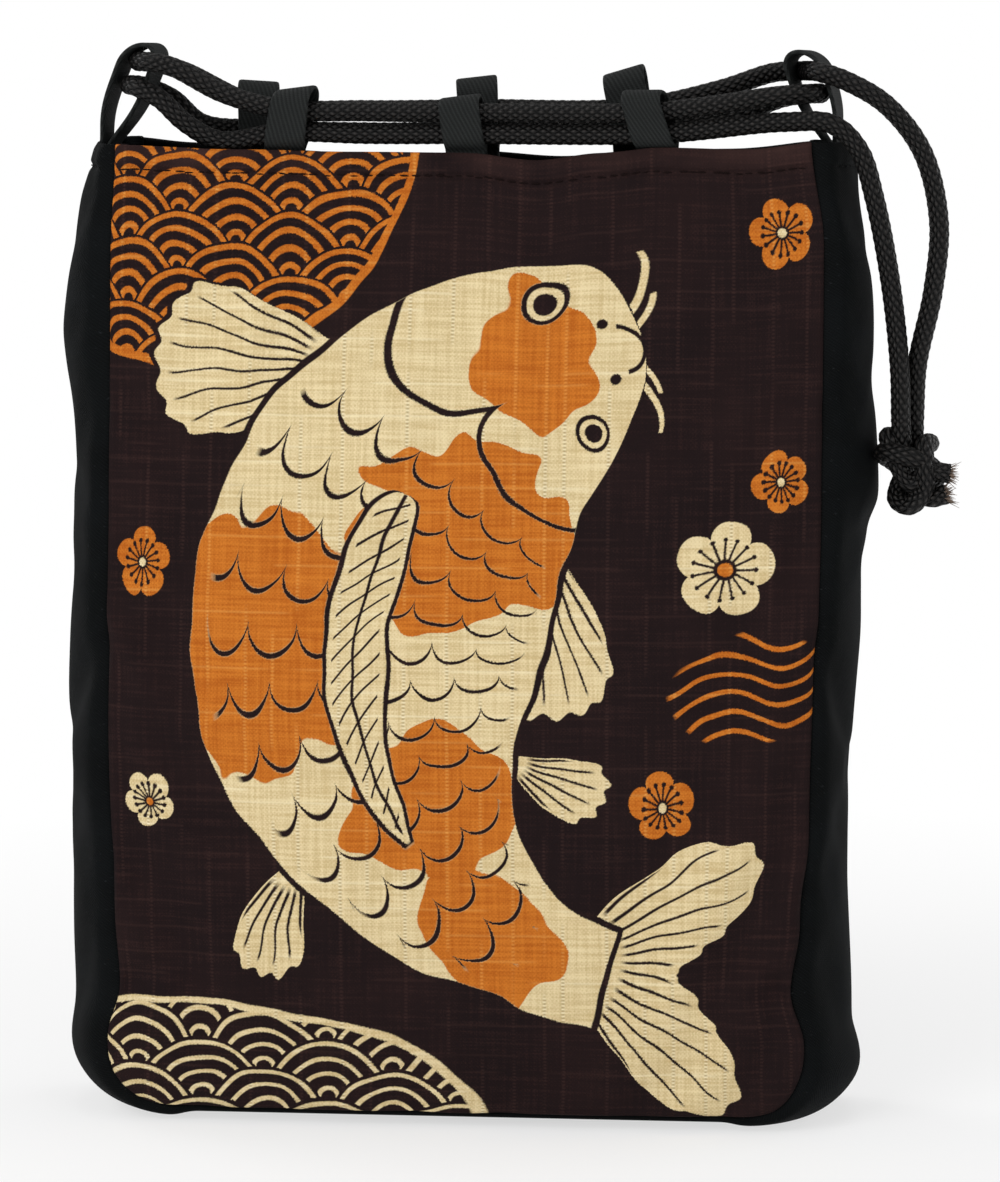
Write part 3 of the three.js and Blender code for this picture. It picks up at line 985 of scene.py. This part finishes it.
def makeLoops(material):
    loops = []
    for side, key in ((-1, "front"), (1, "back")):
        for where, x, height, lean, twist, tilt in tape[key]:
            turn = math.atan(2 * mouthPinch * x / halfWidth ** 2)
            y = float(panelOut(x, bag["rim"], halfWidth)) - bag["cloth"] - tape["inset"]
            node = f"{key}_loop_{where}"
            mesh = tapeMesh(
                node, height, tape["rimBelly"], tape["rimLegs"],
                0, -side * lean, twist, -side * tilt, len(loops),
            )
            spin = -turn if side < 0 else math.pi + turn
            loops.append((node, mesh, (x, side * y), spin))
    for where, side, height, lean, twist, tilt in tape["side"]:
        node = f"{where}_side_loop"
        mesh = tapeMesh(
            node, height, tape["sideBelly"], tape["sideLegs"], lean, 0, twist, tilt, len(loops),
        )
        x = side * (halfWidth + bag["clearance"] + bag["rimSwell"] - tape["inset"])
        loops.append((node, mesh, (x, 0), side * math.pi / 2 + math.radians(tape["sideTurn"])))
    for node, mesh, (x, y), spin in loops:
        points = pointsOf(mesh)
        cos, sin = math.cos(spin), math.sin(spin)
        turned = np.stack([
            points[:, 0] * cos - points[:, 1] * sin + x * mm,
            points[:, 0] * sin + points[:, 1] * cos + y * mm,
            points[:, 2] + bag["rim"] * mm,
        ], axis=1)
        setPoints(mesh, turned)
        piece = addObject(node.replace("loop", "tape"), mesh, material)
        addThickness(piece, tape["thick"] * mm, offset=0)
        addSubdivision(piece)
        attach(piece, "root")
        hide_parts(node)
    print("tape loops made")


def tapeMaterial():
    m = Material("ribbed tape")
    x, y, _ = m.split()
    rib = ((x + y * 0.4) * (2 * math.pi / 1.15)).math("SINE")
    yarn = (y * (2 * math.pi / 0.5)).math("SINE")
    cloud = m.noise(x * 0.3, y * 0.3, 2, 0.6)
    height = rib.scaled(0.35, 0.5) + yarn * 0.12
    # the ribs are painted lighter on their tops and darker in their grooves: painted highlight and painted
    # shade
    paintedShadeAndHighlight = m.mix(height, rgb(15, 16, 16), rgb(43, 46, 45))
    paintedShadeAndHighlight = m.mix(cloud * 0.5, paintedShadeAndHighlight, rgb(27, 29, 29))
    return m.finish(paintedShadeAndHighlight, height, depth=0.3, strength=0.8, rough=0.75, shine=0.16)


def twillMaterial():
    m = Material("black twill")
    x, y, _ = m.split()
    rib = ((x + y) * (2 * math.pi / 0.85)).math("SINE")
    yarn = ((x - y * 0.6) * (2 * math.pi / 0.42)).math("SINE")
    lint = ((m.noise(x * 1.1, y * 1.1) - 0.74) * 7).math("MULTIPLY", 0.16, clamp=True)
    cloud = m.noise(x * 0.035, y * 0.035, 3, 0.65)
    height = rib.scaled(0.3, 0.5) + yarn * 0.12
    # the ribs are painted lighter on their tops and darker in their grooves: painted highlight and painted
    # shade
    paintedShadeAndHighlight = m.mix(height, rgb(7, 8, 8), rgb(15, 17, 18))
    worn = m.mix((cloud - 0.42) * 1.5, paintedShadeAndHighlight, rgb(20, 23, 25))
    dusty = m.mix(lint, worn, rgb(84, 88, 92))
    return m.finish(dusty, height, depth=0.22, strength=0.8, rough=0.88, shine=0.07)


def threadMaterial(name, colour):
    m = Material(name, uv=False)
    x, _, z = m.split()
    ply = ((x + z * 0.6) * 14).math("SINE").scaled(0.5, 0.5)
    # the thread is painted darker in the grooves between its plies: painted shade
    plyWithPaintedShade = m.mix(ply, tuple(c * 0.6 for c in colour), colour)
    return m.finish(plyWithPaintedShade, ply, depth=0.1, strength=1, rough=0.8, shine=0.08)


# Print on the front: a leaping carp in cream and orange, with waves and blossoms, drawn in
# millimetres on the flat cloth. Each shape is a distance that an ink fills.

carp = {
    "centre": (60, 124), "radius": 84,  # of the arc that its body follows
    "nose": -120, "tailRoot": 106,  # along the arc, from its leftmost point
    "halfWidth": 50,
    # (square root of the share of the length, share of the half width), from the nose
    "body": [
        (0, 0), (0.14, 0.3), (0.25, 0.5), (0.4, 0.68), (0.52, 0.83), (0.64, 0.93), (0.74, 0.9),
        (0.84, 0.68), (0.92, 0.42), (0.98, 0.28), (1, 0.27),
    ],
    "patches": [(-93, 4, 15, 18), (-46, -19, 29, 28), (-4, 25, 26, 24), (40, -12, 24, 23), (78, 4, 20, 15)],
    # along the arc, across it, turn from the body in degrees, reach, half angle in degrees, rays
    "fins": [
        (-62, 30, 50, 56, 33, 9), (-62, -30, -50, 48, 33, 9),
        (38, 30, 42, 33, 28, 6), (38, -30, -42, 29, 28, 6),
    ],
    "tail": (18, 62, 52, 14),  # turn, reach, half angle, rays
    # edges of a fin and of the tail: (share of the half angle, share of the reach)
    "finEdge": [(0, 1), (0.5, 0.94), (0.8, 0.76), (0.95, 0.45), (1, 0.05)],
    "tailEdge": [(0, 0.52), (0.3, 0.74), (0.62, 1), (0.82, 0.86), (0.95, 0.5), (1, 0)],
    "backFin": {"start": -46, "long": 96, "across": 2, "width": 8, "ray": 5.6},
    "scale": 12, "scaled": (-60, 88),  # their size, and where they begin and end along the arc
    # on the head: place along the arc, place beside the middle, radius
    "cheek": (-84, 19, 20), "eye": (-100, 18, 5.2), "nostril": (-111, 7, 1.2), "mouth": (-114, 0, 6),
    "barbels": [(8, 23, 1, 0.05), (3.5, 12, 1.35, 0.07)],  # start and end beside the middle, slope, bend
    # circles that cover the body: place along the arc, radius
    "reaches": [(-104, 34), (-72, 42), (-40, 48), (-8, 52), (24, 52), (56, 46), (84, 36), (106, 26)],
}


def onCarp(along, across):  # a place on the body, and the direction towards the tail, in degrees
    angle = along / carp["radius"]
    reach = carp["radius"] + across
    x = carp["centre"][0] - reach * math.cos(angle)
    z = carp["centre"][1] - reach * math.sin(angle)
    return x, z, math.degrees(angle) - 90


blossoms = [  # x, z, radius, turn, ink
    (70, 150, 13, 10, "cream"), (85, 172, 8, 40, "orange"), (54, 88, 9, 25, "orange"),
    (-84, 150, 9, 15, "orange"), (-83, 88, 7.5, 50, "cream"), (84, 234, 9, 30, "orange"),
]

# the printed cloth in tiles, each with a material that draws only the shapes that reach it
tiles = {"across": 3, "up": 4, "margin": 8}


def tileBoxes():
    across, up = bag["width"] / tiles["across"], bag["rim"] / tiles["up"]
    return [
        (i * across - halfWidth, (i + 1) * across - halfWidth, j * up, (j + 1) * up)
        for j in range(tiles["up"]) for i in range(tiles["across"])
    ]


class Inks:
    def __init__(self, x, z, box):
        self.x = x
        self.z = z
        self.box = box
        self.cream = self.orange = x * 0.0

    def reached(self, *spots):  # True if one of the circles, each x, z and radius, reaches the tile
        left, right, foot, top = self.box
        return any(
            math.hypot(max(left - x, x - right, 0), max(foot - z, z - top, 0)) < radius + tiles["margin"]
            for x, z, radius in spots
        )

    def fill(self, ink, mask):
        if ink == "orange":
            self.orange = self.orange.math("MAXIMUM", mask)
            return
        rest = mask.inverse()
        self.orange = self.orange * rest
        self.cream = self.cream.math("MAXIMUM", mask) if ink == "cream" else self.cream * rest

    def place(self, x, z, turn=0.0):  # coordinates along and across a shape of its own
        dx, dz = self.x - x, self.z - z
        cos, sin = math.cos(math.radians(turn)), math.sin(math.radians(turn))
        return dx.scaled(cos, dz * sin), dx.scaled(-sin, dz * cos)

    def polar(self, x, z, turn):  # the angle and the distance from the root or the middle of a shape
        along, across = self.place(x, z, turn)
        return across.math("ARCTAN2", along), distance(along, across)

    def fan(self, x, z, turn, reach, half, rays, profile, root=0.28):
        way, span = math.radians(turn), math.radians(half)
        middle = (x + math.cos(way) * reach / 2, z + math.sin(way) * reach / 2)
        if not self.reached((*middle, reach * (0.5 + half / 175))):
            return
        angle, far = self.polar(x, z, turn)
        edge = (angle.size() / span).curve(*profile) * reach
        ripple = (angle * (rays * math.pi / span)).math("COSINE") * 0.9
        gap = far - edge - ripple
        self.fill("bare", inside(gap - 1.6))
        self.fill("cream", inside(gap))
        cell = (angle * (rays / 2 / span)).math("FRACT") - 0.5
        ray = cell.size() * far * (2 * span / rays) - far.scaled(-0.45 / reach, 0.95) * 0.5
        self.fill("bare", inside(ray) * inside(far * -1 + reach * root, 1) * inside(gap + 2.6, 0.8))

    def blossom(self, x, z, radius, turn, ink):
        if not self.reached((x, z, radius + 2)):
            return
        angle, far = self.polar(x, z, turn)
        petal = (angle * 2.5).math("COSINE").size().math("POWER", 0.55)
        notch = (angle * 2.5).math("SINE").size().math("POWER", 8.0)
        edge = petal.scaled(0.3 * radius, 0.7 * radius) - notch * (0.04 * radius)
        self.fill("bare", inside(far - edge - 1.3))
        self.fill(ink, inside(far - edge))
        apart = 2 * math.pi / 15
        stamen = ((angle / apart).math("FRACT") - 0.5).size() * far * apart
        self.fill("bare", inside(stamen - 0.3) * inside(far - radius * 0.56))
        dots = distance(stamen, far - radius * 0.6)
        self.fill("bare", inside(dots - 0.62))
        self.fill("bare", inside(far - radius * 0.2))
        self.fill("cream" if ink == "orange" else "orange", inside(far - radius * 0.13))

    def waves(self, radius, lineWidth, ink, region):
        rise = radius / 2
        row = (self.z / rise).math("FLOOR")

        def toCentre(row):
            shift = (row * 0.5).math("FRACT") * (2 * radius)
            cell = ((self.x + shift) / (2 * radius)).math("FRACT") - 0.5
            return distance(cell * (2 * radius), self.z - row * rise)

        behind, before = toCentre(row), toCentre(row - 1)
        front = before.math("LESS_THAN", radius)
        far = behind + (before - behind) * front
        ring = (far / (radius / 4)).math("FRACT") - 0.62
        self.fill(ink, line(ring * (radius / 4), lineWidth) * region)

    def carp(self, blot):
        tailX, tailZ, tailTurn = onCarp(carp["tailRoot"] - 10, 0)
        turn, reach, half, rays = carp["tail"]
        self.fan(tailX, tailZ, tailTurn + turn, reach, half, rays, carp["tailEdge"], root=0.3)
        for place, offset, turn, reach, half, rays in carp["fins"]:
            x, z, back = onCarp(place, offset)
            # outward is clockwise from the way to the tail
            self.fan(x, z, back - turn, reach, half, rays, carp["finEdge"])
        if not self.reached(*((*onCarp(place, 0)[:2], radius) for place, radius in carp["reaches"])):
            return
        dx, dz = self.x - carp["centre"][0], self.z - carp["centre"][1]
        along = (dz * -1).math("ARCTAN2", dx * -1) * carp["radius"]
        across = distance(dx, dz) - carp["radius"]
        side = across.size()
        length = carp["tailRoot"] - carp["nose"]
        share = ((along - carp["nose"]) / length).clipped().math("SQRT")
        width = share.curve(*carp["body"]) * carp["halfWidth"]
        past = (along - (carp["tailRoot"] + 4)).math("MAXIMUM", along * -1 + carp["nose"])
        gap = (side - width).math("MAXIMUM", past)
        self.fill("bare", inside(gap - 1.7))
        body = inside(gap)
        self.fill("cream", body)
        for place, offset, long, wide in carp["patches"]:
            if self.reached((*onCarp(place, offset)[:2], max(long, wide) * 1.5)):
                u, v = (along - place) / long, (across - offset) / wide
                self.fill("orange", inside((distance(u, v) - 1 + blot) * wide) * body)
        self.scales(along, across, side, width)
        if self.reached(*((*onCarp(place, 2)[:2], 14) for place in (-32, -10, 12, 34))):
            self.backFin(along, across)
        if self.reached((*onCarp(-102, 0)[:2], 46)):
            self.head(along, side, width, gap)

    def scales(self, along, across, side, width):  # in rows that bulge towards the tail
        size = carp["scale"]
        first, last = carp["scaled"]
        row = (along / size).math("FLOOR")
        column = (across / size + row * 0.5).math("FRACT") * 2 - 1
        bulge = (column * column).inverse().math("MAXIMUM", 0.0).math("SQRT").scaled(0.55, 0.25)
        scale = line(((along / size).math("FRACT") - bulge) * size, 1.2)
        covered = inside(along * -1 + first, 1) * inside(along - last, 1) * inside(side - width + 4.5, 0.8)
        self.fill("bare", scale * covered)

    def backFin(self, along, across):
        fin = carp["backFin"]
        share = ((along - fin["start"]) / fin["long"]).clipped()
        width = share.curve((0, 0), (0.12, 0.75), (0.35, 1), (0.7, 0.72), (1, 0)) * fin["width"]
        across = across - fin["across"]
        gap = across.size() - width
        self.fill("bare", inside(gap - 1.2) * inside(width * -1 + 0.3))
        self.fill("cream", inside(gap) * inside(width * -1 + 0.6))
        ray = (((along - across * 1.1) / fin["ray"]).math("FRACT") - 0.5) * fin["ray"]
        lines = line(ray, 0.8).math("MAXIMUM", line(across, 0.9))
        self.fill("bare", lines * inside(gap + 1.4) * inside(width * -1 + 1.5))

    def head(self, along, side, width, gap):  # gill covers, eyes, nostrils, mouth and barbels
        def circle(name, long=1):  # distance past its edge
            place, beside, radius = carp[name]
            return distance((along - place) / long, side - beside) - radius

        behind = inside(along * -1 + carp["cheek"][0] - 2)
        self.fill("bare", line(circle("cheek"), 1.5) * behind * inside(side - width))
        eye = circle("eye")
        self.fill("bare", inside(eye))
        self.fill("cream", inside(eye + 1.2))
        self.fill("bare", inside(eye + 2.6))
        self.fill("bare", inside(circle("nostril", long=1.25)))
        self.fill("bare", line(circle("mouth"), 1.1) * inside(along - carp["mouth"][0] + 0.5))
        for first, last, slope, bend in carp["barbels"]:
            out = side - first
            barbel = (along - (carp["nose"] + 3) + out * slope - out * out * bend) * 0.75
            thick = out.scaled(-0.9 / (last - first), 1.9)
            shown = inside(out - (last - first)) * inside(gap * -1 + 1.2)
            self.fill("cream", inside(barbel.size() - thick * 0.5) * shown)


def printDesign(m, x, z, box):
    inks = Inks(x, z, box)
    blot = (m.noise(x * 0.055, z * 0.055) - 0.5) * 1.1
    if inks.reached((-74, 262, 64)):  # waves at the top left
        corner = distance(*inks.place(-74, 262)) - 62
        inks.waves(15, 1.5, "orange", inside(corner))
        inks.fill("orange", line(corner + 1, 2.2))
    if inks.reached((-80, 0, 37), (-50, 0, 36), (-20, 0, 28)):  # and at the foot
        pool = distance(inks.x * 0.42 + 30, inks.z - 2) - 33
        inks.waves(17, 1.2, "cream", inside(pool))
        inks.fill("cream", line(pool + 0.8, 1.6))
    if inks.reached((79, 119, 27)):  # ripples at the right
        u, v = inks.place(79, 119, 8)
        stream = v + (u * 0.16).math("SINE") * 3.4
        band = ((stream / 5.2).math("FRACT") - 0.5) * 5.2
        inks.fill("orange", line(band, 1.3) * inside(distance(u * 0.62, v) - 14.5, 0.4))
    inks.carp(blot)
    for blossom in blossoms:
        inks.blossom(*blossom)
    return inks.cream, inks.orange


slub = {"columnEvery": 8.6, "rowEvery": 6.4, "stitch": 0.95}  # drawn threads, in millimetres


def slubCloth(m, x, z):  # weave, thick yarns and drawn threads, each from 0 to 1
    weave = ((x * (math.pi / 0.52)).math("SINE") * (z * (math.pi / 0.56)).math("SINE")).scaled(0.5, 0.5)
    thickWeft = m.noise(x * 0.04, z * 1.0, 2, 0.7)
    thickWarp = m.noise(x * 0.9 + 31, z * 0.035, 2, 0.7)

    def drawn(place, run, every, wide, seed, much):
        number = (place / every).math("FLOOR")
        offset = (place / every).math("FRACT") - m.dice(number + seed).scaled(0.6, 0.2)
        there = m.noise(run * 0.028, number * 3.7 + seed, 1, 0.5)
        return inside(offset.size() * every - wide / 2, 0.25) * inside((there * -1 + much) * 8, 0.2)

    column = drawn(x, z, slub["columnEvery"], 0.8, 0.5, 0.47)
    row = drawn(z, x, slub["rowEvery"], 0.5, 40.5, 0.53)
    return weave, thickWeft, thickWarp, column, row


def printedMaterial(name, box=None):  # without a box it is the plain reverse
    m = Material(name)
    x, z, _ = m.split()
    weave, thickWeft, thickWarp, column, row = slubCloth(m, x, z)
    fine = m.noise(x * 2.4, z * 2.4)
    cloud = m.noise(x * 0.045 + 9, z * 0.045, 2, 0.6)
    ladder = (z * (2 * math.pi / slub["stitch"])).math("SINE").scaled(0.5, 0.5)
    streak = (thickWeft - 0.5) * 1.3 + (thickWarp - 0.5) * 0.9
    # the cloth is painted lighter where the weave and the thick yarns stand high, as in its bump: painted
    # highlight, mixed with the yarns' own uneven tone
    yarnToneAndHighlight = streak * 1.5 + (weave - 0.5) * 0.4 + (fine - 0.5) * 0.9
    ground = m.mix((cloud - 0.35) * 1.4, rgb(28, 18, 19), rgb(38, 24, 24))
    ground = m.mix(yarnToneAndHighlight.math("MULTIPLY", 0.42, clamp=True), ground, rgb(66, 43, 40))
    # a paler band at the rim: painted sheen on the hem's ridges, with wear
    worn = inside(z * -1 + 252, 5) * (cloud - 0.3)
    ground = m.mix((column * ladder + row * 0.6) * 0.1 + worn * 0.35, ground, rgb(120, 84, 76))
    if box:
        drift = m.noise(x * 0.05, z * 0.05 + 17)
        driftZ = m.noise(x * 0.05 + 23, z * 0.05)
        edge = (fine - 0.5) * 0.5
        drifted = [x + drift.scaled(4, -2) + edge, z + driftZ.scaled(4, -2) + edge]
        cream, orange = printDesign(m, *drifted, box)
        # the inks take the same painted highlight on the weave and thick yarns, with the yarns' uneven tone
        pale = m.mix(yarnToneAndHighlight + 0.5, rgb(208, 184, 134), rgb(236, 217, 172))
        pale = m.mix((column * ladder + row * 0.6) * 0.75, pale, rgb(250, 238, 202))
        pale = m.mix(column * ladder.inverse() * 0.6, pale, rgb(156, 128, 82))
        rust = m.mix(yarnToneAndHighlight + 0.5, rgb(180, 94, 26), rgb(208, 122, 42))
        rust = m.mix((column * ladder + row * 0.7) * 0.55, rust, rgb(230, 160, 80))
        ground = m.mix(orange, m.mix(cream, ground, pale), rust)
    height = weave * 0.5 + thickWeft * 0.8 + thickWarp * 0.6
    return m.finish(ground, height, depth=0.22, strength=0.55, rough=0.9, shine=0.12)


# Floor, background and light

stage = {
    # place, size, power in watts
    "lamps": [
        ((-1.1, -1.9, 1.2), 1.6, 28), ((1.5, -1.7, 0.9), 1.4, 8),
        ((0.1, 0.3, 1.9), 1.2, 7), ((-1.6, 1.2, 1.0), 1.2, 14), ((1.6, 1.3, 0.8), 1.2, 9),
    ],
    "aim": (0, 0, 0.13),
    "world": 0.31,
    "floorRadius": 4, "floorTop": -0.0003,
}


def seenBy(tree, *rays):  # 1 for these kinds of rays
    path = tree.nodes.new("ShaderNodeLightPath")
    first, *others = (Flow(tree, path.outputs[f"Is {ray} Ray"]) for ray in rays)
    for other in others:
        first = first.math("MAXIMUM", other)
    return first


def addStage():
    bm = bmesh.new()
    bmesh.ops.create_circle(bm, cap_ends=True, segments=96, radius=stage["floorRadius"])
    bmesh.ops.translate(bm, verts=bm.verts, vec=(0, 0, stage["floorTop"]))
    m = Material("pale floor", uv=False)
    x, y, _ = m.split(1.0)
    far = distance(x, y - 0.1)
    fade = far.math("MULTIPLY_ADD", 1.1, 0.5, clamp=True)
    seen = seenBy(m.tree, "Camera", "Glossy", "Transmission")
    m.set(Base_Color=(0.95, 0.95, 0.95, 1), Roughness=0.9, Specular_IOR_Level=0.1)
    white = m.node("Emission")
    white.inputs["Strength"].default_value = 1
    blend = m.node("MixShader")
    m.link(fade * seen, blend.inputs[0])
    m.link(m.shader.outputs[0], blend.inputs[1])
    m.link(white.outputs[0], blend.inputs[2])
    m.link(blend.outputs[0], m.tree.nodes["Material Output"].inputs[0])
    floor = addObject("floor", closed(bm, "floor"), m.material)

    world = bpy.data.worlds.new("white room")
    world.use_nodes = True
    tree = world.node_tree
    background = tree.nodes["Background"]
    strength = seenBy(tree, "Camera", "Transmission").scaled(1 - stage["world"], stage["world"])
    tree.links.new(strength.socket, background.inputs["Strength"])
    background.inputs["Color"].default_value = (1, 1, 1, 1)
    bpy.context.scene.world = world
    for place, size, power in stage["lamps"]:
        data = bpy.data.lights.new("softbox", "AREA")
        data.shape = "DISK"
        data.size = size
        data.energy = power
        lamp = bpy.data.objects.new("softbox", data)
        lamp.location = place
        lamp.rotation_euler = (Vector(stage["aim"]) - lamp.location).to_track_quat("-Z", "Y").to_euler()
        bpy.context.collection.objects.link(lamp)
    bpy.context.scene.view_settings.view_transform = "Standard"


addCamera()
makeCord(cordMaterial())
addStage()
brownThread = threadMaterial("brown thread", rgb(30, 19, 18))
blackThread = threadMaterial("black thread", rgb(14, 14, 15))
prints = [printedMaterial(f"printed slub cotton {i + 1}", box) for i, box in enumerate(tileBoxes())]
bagPieces = makeBag(prints, printedMaterial("reverse of the print"), twillMaterial())
makeStitching(bagPieces, brownThread, blackThread)
makeLoops(tapeMaterial())
